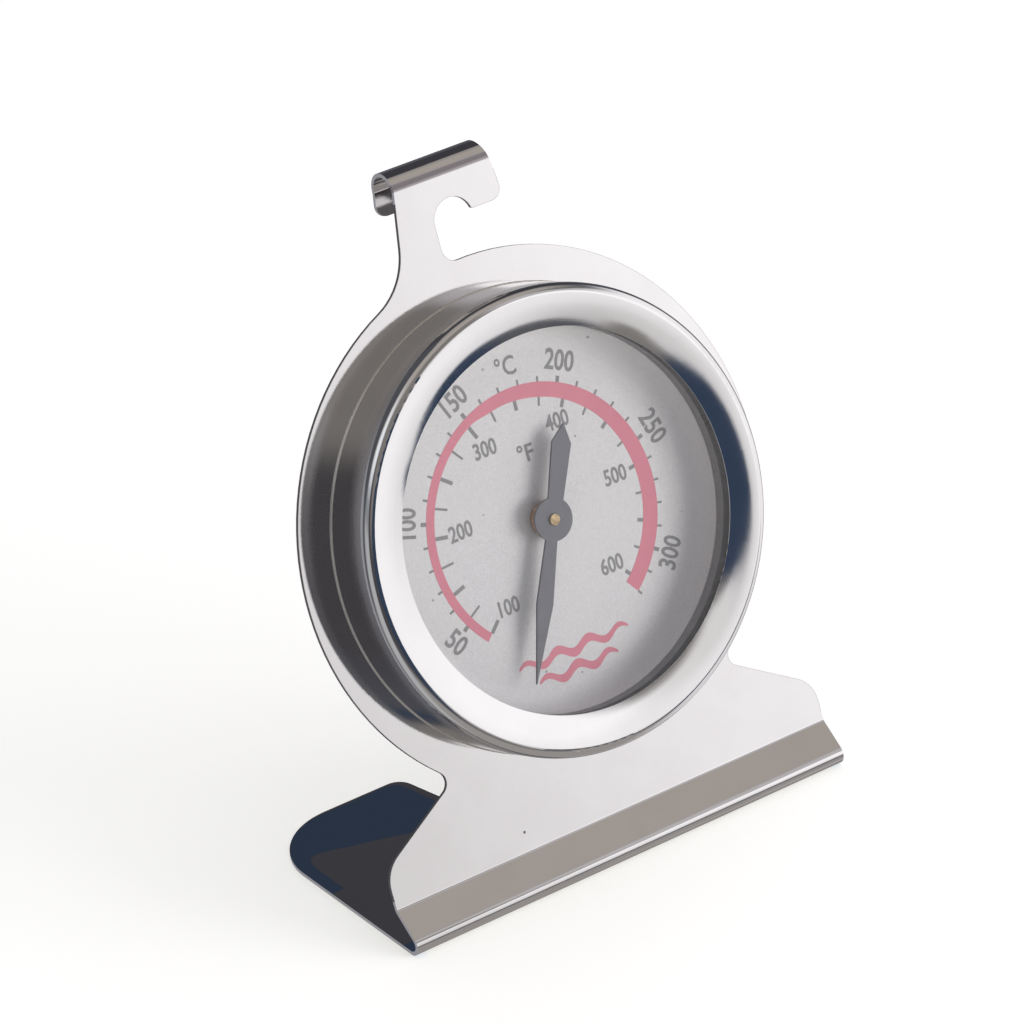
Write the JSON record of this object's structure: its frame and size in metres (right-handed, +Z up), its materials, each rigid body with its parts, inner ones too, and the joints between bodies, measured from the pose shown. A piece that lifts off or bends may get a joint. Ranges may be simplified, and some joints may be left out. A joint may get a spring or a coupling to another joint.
{
  "type": "oven thermometer",
  "caption": "Round bimetal dial thermometer on a leaning bent-sheet stand with a foot plate, a top hook and a side notch for hanging on an oven rack wire.",
  "frame": {"origin": "on the table surface under the foot plate, on the centre line, 12 mm behind the foot of the front bend", "axes": "+Z up, the dial faces -Y and leans back, +X to the right seen from the front"},
  "size_m": [0.0694, 0.038, 0.0876],
  "materials": {
    "polished_steel": "bright rolled stainless sheet",
    "can_steel": "drawn stainless steel",
    "rivet_steel": "plain steel rivets",
    "bezel_steel": "satin-bright stainless steel",
    "clear_glass": "clear flat glass",
    "dark_spacer": "dark grey spacer",
    "dial_enamel": "satin light grey enamel with a printed scale",
    "brass": "turned brass",
    "bimetal": "rolled bimetal strip",
    "pointer_enamel": "matt dark grey enamel",
    "copper_boss": "copper-brown turned boss"
  },
  "bodies": {
    "case_and_stand": {"stand": "polished_steel", "case_cup": "can_steel", "case_rivets": "rivet_steel", "bezel_ring": "bezel_steel", "glass_lens": "clear_glass", "spacer_ring": "dark_spacer", "dial_support_ring": "can_steel", "dial_plate": "dial_enamel", "movement_bridge": "can_steel", "bridge_rivets": "rivet_steel", "front_bush": "brass", "front_washer": "brass", "rear_bush": "brass", "rear_washer": "brass", "bimetal_coil": "bimetal", "anchor_post": "brass"},
    "pointer_assembly": {"arbor": "brass", "coil_collet": "brass", "pointer": "pointer_enamel", "pointer_boss": "copper_boss"}
  },
  "joints": [
    {"name": "pointer_turn", "type": "hinge", "parent": "case_and_stand", "child": "pointer_assembly", "pos_m": [0, 0.00399, 0.04314], "axis": [0, 0.9421, -0.3355], "range_deg": [-15, 300], "stiffness_Nm_per_rad": 0.0005}
  ]
}
